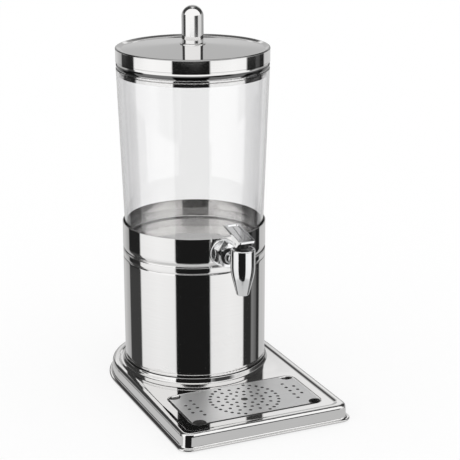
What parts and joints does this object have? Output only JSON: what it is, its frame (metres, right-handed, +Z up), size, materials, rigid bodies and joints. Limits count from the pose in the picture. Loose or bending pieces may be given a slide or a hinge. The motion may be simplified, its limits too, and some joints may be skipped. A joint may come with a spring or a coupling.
{
  "type": "juice dispenser",
  "caption": "Free-standing juice dispenser: pressed steel base with drip well and grille, polished cooling column, clear tapered container, domed lid and a spring-closed lever tap.",
  "frame": {"origin": "on the table, under the middle of the base plate's outline", "axes": "+Z up along the column, -Y to the front where the tap is, +X to the right seen from the front"},
  "size_m": [0.212, 0.3204, 0.4515],
  "materials": {
    "polished_steel": "mirror polished",
    "satin_steel": "satin",
    "chrome": "bright plated",
    "clear_plastic": "clear, glossy",
    "black_plastic": "semi-gloss",
    "pack_plastic": "satin",
    "pack_cap_plastic": "satin",
    "black_rubber": "matt",
    "clear_rubber": "matt, translucent"
  },
  "bodies": {
    "base": {"base_plate": "polished_steel", "rubber_feet": "black_rubber", "column": "polished_steel", "column_foot_ring": "satin_steel", "column_screws": "satin_steel"},
    "drip_grille": {"drip_grille": "satin_steel"},
    "cooling_pack": {"cooling_pack": "pack_plastic", "cooling_pack_cap": "pack_cap_plastic"},
    "upper_unit": {"bowl": "polished_steel", "locating_ring": "satin_steel", "container": "clear_plastic", "container_seal": "clear_rubber", "outlet_stub": "chrome", "rosette": "chrome", "rosette_gasket": "black_rubber", "union_nut": "chrome", "neck_bush": "black_plastic", "union_washer": "black_rubber", "tap_body": "chrome", "tap_cap": "chrome", "bonnet": "black_plastic", "valve_spring": "satin_steel"},
    "valve": {"valve_stem": "satin_steel", "stem_head": "black_plastic", "valve_seal": "black_rubber"},
    "lever": {"lever": "chrome", "lever_pin": "satin_steel"},
    "lid": {"lid": "polished_steel", "lid_inner_ring": "polished_steel", "knob": "polished_steel", "knob_washer": "polished_steel", "knob_inner_washer": "satin_steel", "knob_screw": "satin_steel"}
  },
  "joints": [
    {"name": "unit_lift", "type": "slide", "parent": "base", "child": "upper_unit", "axis": [0, 0, 1], "range_m": [0, 0.05]},
    {"name": "lid_lift", "type": "slide", "parent": "upper_unit", "child": "lid", "axis": [0, 0, 1], "range_m": [0, 0.08]},
    {"name": "grille_lift", "type": "slide", "parent": "base", "child": "drip_grille", "axis": [0, 0, 1], "range_m": [0, 0.06]},
    {"name": "pack_lift", "type": "slide", "parent": "base", "child": "cooling_pack", "axis": [0, 0, 1], "range_m": [0, 0.005]},
    {"name": "stem_lift", "type": "slide", "parent": "upper_unit", "child": "valve", "axis": [0, 0, 1], "range_m": [0, 0.004], "stiffness_N_per_m": 1500, "springref_m": -0.004, "deforming": ["valve_spring"]},
    {"name": "lever_tilt", "type": "hinge", "parent": "valve", "child": "lever", "pos_m": [0, -0.08635, 0.2055], "axis": [-1, 0, 0], "range_deg": [0, 22]}
  ],
  "couplings": [
    {"joint": "lever_tilt", "follows": "stem_lift", "rad_per_m": 95.9}
  ]
}
